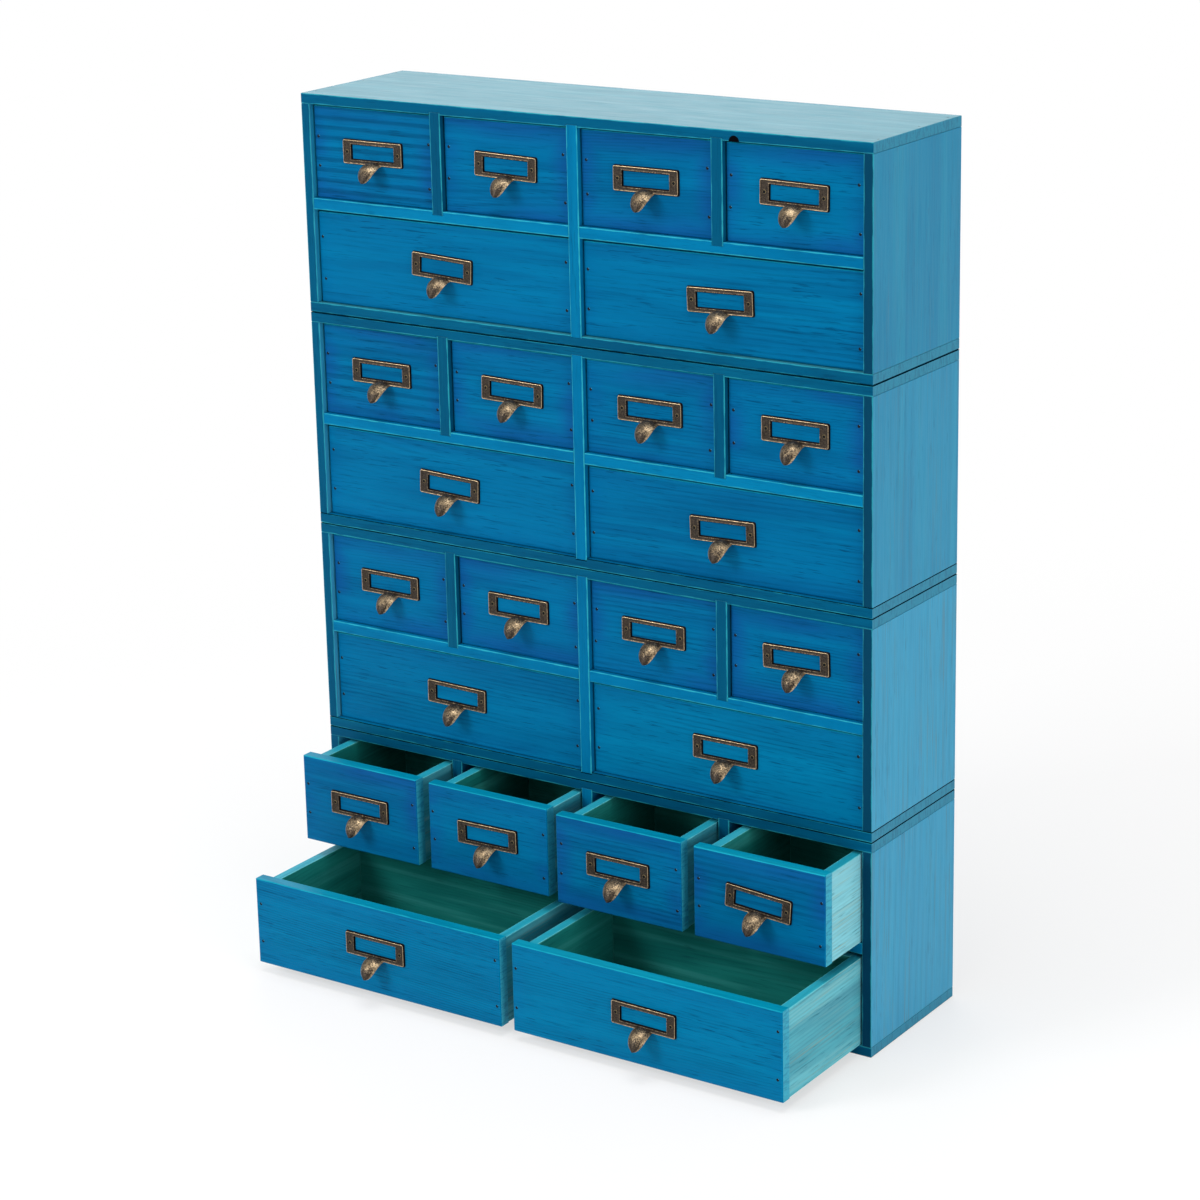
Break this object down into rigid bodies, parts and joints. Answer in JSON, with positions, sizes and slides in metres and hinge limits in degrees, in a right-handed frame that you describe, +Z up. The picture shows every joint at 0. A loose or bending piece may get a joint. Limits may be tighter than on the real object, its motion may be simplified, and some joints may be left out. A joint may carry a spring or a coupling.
{
  "type": "stacking drawer box",
  "caption": "Stack of low wooden drawer boxes, each with small drawers over two wide ones, stained blue, with cast label-holder finger pulls.",
  "frame": {"origin": "middle of the bottom box's underside, where the stack stands", "axes": "+Z up, the drawer fronts face -Y, +X to the right seen from the front"},
  "size_m": [0.63, 0.3249, 0.8609],
  "materials": {
    "case_wood": "blue stain, satin",
    "back_wood": "blue stain, dull",
    "drawer_wood": "blue stain, satin",
    "pull_metal": "antique bronze, worn"
  },
  "bodies": {
    "box_1": {"box_1_case": "case_wood", "box_1_dividers": "case_wood", "box_1_back_panel": "back_wood"},
    "box_1_small_drawer_1": {"box_1_small_drawer_1": "drawer_wood", "box_1_small_drawer_1_pull": "pull_metal"},
    "box_1_small_drawer_2": {"box_1_small_drawer_2": "drawer_wood", "box_1_small_drawer_2_pull": "pull_metal"},
    "box_1_small_drawer_3": {"box_1_small_drawer_3": "drawer_wood", "box_1_small_drawer_3_pull": "pull_metal"},
    "box_1_small_drawer_4": {"box_1_small_drawer_4": "drawer_wood", "box_1_small_drawer_4_pull": "pull_metal"},
    "box_1_wide_drawer_1": {"box_1_wide_drawer_1": "drawer_wood", "box_1_wide_drawer_1_pull": "pull_metal"},
    "box_1_wide_drawer_2": {"box_1_wide_drawer_2": "drawer_wood", "box_1_wide_drawer_2_pull": "pull_metal"},
    "box_2": {"box_2_case": "case_wood", "box_2_dividers": "case_wood", "box_2_back_panel": "back_wood"},
    "box_2_small_drawer_1": {"box_2_small_drawer_1": "drawer_wood", "box_2_small_drawer_1_pull": "pull_metal"},
    "box_2_small_drawer_2": {"box_2_small_drawer_2": "drawer_wood", "box_2_small_drawer_2_pull": "pull_metal"},
    "box_2_small_drawer_3": {"box_2_small_drawer_3": "drawer_wood", "box_2_small_drawer_3_pull": "pull_metal"},
    "box_2_small_drawer_4": {"box_2_small_drawer_4": "drawer_wood", "box_2_small_drawer_4_pull": "pull_metal"},
    "box_2_wide_drawer_1": {"box_2_wide_drawer_1": "drawer_wood", "box_2_wide_drawer_1_pull": "pull_metal"},
    "box_2_wide_drawer_2": {"box_2_wide_drawer_2": "drawer_wood", "box_2_wide_drawer_2_pull": "pull_metal"},
    "box_3": {"box_3_case": "case_wood", "box_3_dividers": "case_wood", "box_3_back_panel": "back_wood"},
    "box_3_small_drawer_1": {"box_3_small_drawer_1": "drawer_wood", "box_3_small_drawer_1_pull": "pull_metal"},
    "box_3_small_drawer_2": {"box_3_small_drawer_2": "drawer_wood", "box_3_small_drawer_2_pull": "pull_metal"},
    "box_3_small_drawer_3": {"box_3_small_drawer_3": "drawer_wood", "box_3_small_drawer_3_pull": "pull_metal"},
    "box_3_small_drawer_4": {"box_3_small_drawer_4": "drawer_wood", "box_3_small_drawer_4_pull": "pull_metal"},
    "box_3_wide_drawer_1": {"box_3_wide_drawer_1": "drawer_wood", "box_3_wide_drawer_1_pull": "pull_metal"},
    "box_3_wide_drawer_2": {"box_3_wide_drawer_2": "drawer_wood", "box_3_wide_drawer_2_pull": "pull_metal"},
    "box_4": {"box_4_case": "case_wood", "box_4_dividers": "case_wood", "box_4_back_panel": "back_wood"},
    "box_4_small_drawer_1": {"box_4_small_drawer_1": "drawer_wood", "box_4_small_drawer_1_pull": "pull_metal"},
    "box_4_small_drawer_2": {"box_4_small_drawer_2": "drawer_wood", "box_4_small_drawer_2_pull": "pull_metal"},
    "box_4_small_drawer_3": {"box_4_small_drawer_3": "drawer_wood", "box_4_small_drawer_3_pull": "pull_metal"},
    "box_4_small_drawer_4": {"box_4_small_drawer_4": "drawer_wood", "box_4_small_drawer_4_pull": "pull_metal"},
    "box_4_wide_drawer_1": {"box_4_wide_drawer_1": "drawer_wood", "box_4_wide_drawer_1_pull": "pull_metal"},
    "box_4_wide_drawer_2": {"box_4_wide_drawer_2": "drawer_wood", "box_4_wide_drawer_2_pull": "pull_metal"}
  },
  "joints": [
    {"name": "box_1_small_drawer_1_slide", "type": "slide", "parent": "box_1", "child": "box_1_small_drawer_1", "axis": [0, -1, 0], "range_m": [-0.064, 0.083]},
    {"name": "box_1_small_drawer_2_slide", "type": "slide", "parent": "box_1", "child": "box_1_small_drawer_2", "axis": [0, -1, 0], "range_m": [-0.063, 0.084]},
    {"name": "box_1_small_drawer_3_slide", "type": "slide", "parent": "box_1", "child": "box_1_small_drawer_3", "axis": [0, -1, 0], "range_m": [-0.069, 0.078]},
    {"name": "box_1_small_drawer_4_slide", "type": "slide", "parent": "box_1", "child": "box_1_small_drawer_4", "axis": [0, -1, 0], "range_m": [-0.07, 0.077]},
    {"name": "box_1_wide_drawer_1_slide", "type": "slide", "parent": "box_1", "child": "box_1_wide_drawer_1", "axis": [0, -1, 0], "range_m": [-0.147, 0]},
    {"name": "box_1_wide_drawer_2_slide", "type": "slide", "parent": "box_1", "child": "box_1_wide_drawer_2", "axis": [0, -1, 0], "range_m": [-0.147, 0]},
    {"name": "box_2_lift", "type": "slide", "parent": "box_1", "child": "box_2", "axis": [0, 0, 1], "range_m": [0, 0.06]},
    {"name": "box_2_small_drawer_1_slide", "type": "slide", "parent": "box_2", "child": "box_2_small_drawer_1", "axis": [0, -1, 0], "range_m": [0, 0.147]},
    {"name": "box_2_small_drawer_2_slide", "type": "slide", "parent": "box_2", "child": "box_2_small_drawer_2", "axis": [0, -1, 0], "range_m": [0, 0.147]},
    {"name": "box_2_small_drawer_3_slide", "type": "slide", "parent": "box_2", "child": "box_2_small_drawer_3", "axis": [0, -1, 0], "range_m": [0, 0.147]},
    {"name": "box_2_small_drawer_4_slide", "type": "slide", "parent": "box_2", "child": "box_2_small_drawer_4", "axis": [0, -1, 0], "range_m": [0, 0.147]},
    {"name": "box_2_wide_drawer_1_slide", "type": "slide", "parent": "box_2", "child": "box_2_wide_drawer_1", "axis": [0, -1, 0], "range_m": [0, 0.147]},
    {"name": "box_2_wide_drawer_2_slide", "type": "slide", "parent": "box_2", "child": "box_2_wide_drawer_2", "axis": [0, -1, 0], "range_m": [0, 0.147]},
    {"name": "box_3_lift", "type": "slide", "parent": "box_2", "child": "box_3", "axis": [0, 0, 1], "range_m": [0, 0.06]},
    {"name": "box_3_small_drawer_1_slide", "type": "slide", "parent": "box_3", "child": "box_3_small_drawer_1", "axis": [0, -1, 0], "range_m": [0, 0.147]},
    {"name": "box_3_small_drawer_2_slide", "type": "slide", "parent": "box_3", "child": "box_3_small_drawer_2", "axis": [0, -1, 0], "range_m": [0, 0.147]},
    {"name": "box_3_small_drawer_3_slide", "type": "slide", "parent": "box_3", "child": "box_3_small_drawer_3", "axis": [0, -1, 0], "range_m": [0, 0.147]},
    {"name": "box_3_small_drawer_4_slide", "type": "slide", "parent": "box_3", "child": "box_3_small_drawer_4", "axis": [0, -1, 0], "range_m": [0, 0.147]},
    {"name": "box_3_wide_drawer_1_slide", "type": "slide", "parent": "box_3", "child": "box_3_wide_drawer_1", "axis": [0, -1, 0], "range_m": [0, 0.147]},
    {"name": "box_3_wide_drawer_2_slide", "type": "slide", "parent": "box_3", "child": "box_3_wide_drawer_2", "axis": [0, -1, 0], "range_m": [0, 0.147]},
    {"name": "box_4_lift", "type": "slide", "parent": "box_3", "child": "box_4", "axis": [0, 0, 1], "range_m": [0, 0.06]},
    {"name": "box_4_small_drawer_1_slide", "type": "slide", "parent": "box_4", "child": "box_4_small_drawer_1", "axis": [0, -1, 0], "range_m": [0, 0.147]},
    {"name": "box_4_small_drawer_2_slide", "type": "slide", "parent": "box_4", "child": "box_4_small_drawer_2", "axis": [0, -1, 0], "range_m": [0, 0.147]},
    {"name": "box_4_small_drawer_3_slide", "type": "slide", "parent": "box_4", "child": "box_4_small_drawer_3", "axis": [0, -1, 0], "range_m": [0, 0.147]},
    {"name": "box_4_small_drawer_4_slide", "type": "slide", "parent": "box_4", "child": "box_4_small_drawer_4", "axis": [0, -1, 0], "range_m": [0, 0.147]},
    {"name": "box_4_wide_drawer_1_slide", "type": "slide", "parent": "box_4", "child": "box_4_wide_drawer_1", "axis": [0, -1, 0], "range_m": [0, 0.147]},
    {"name": "box_4_wide_drawer_2_slide", "type": "slide", "parent": "box_4", "child": "box_4_wide_drawer_2", "axis": [0, -1, 0], "range_m": [0, 0.147]}
  ]
}
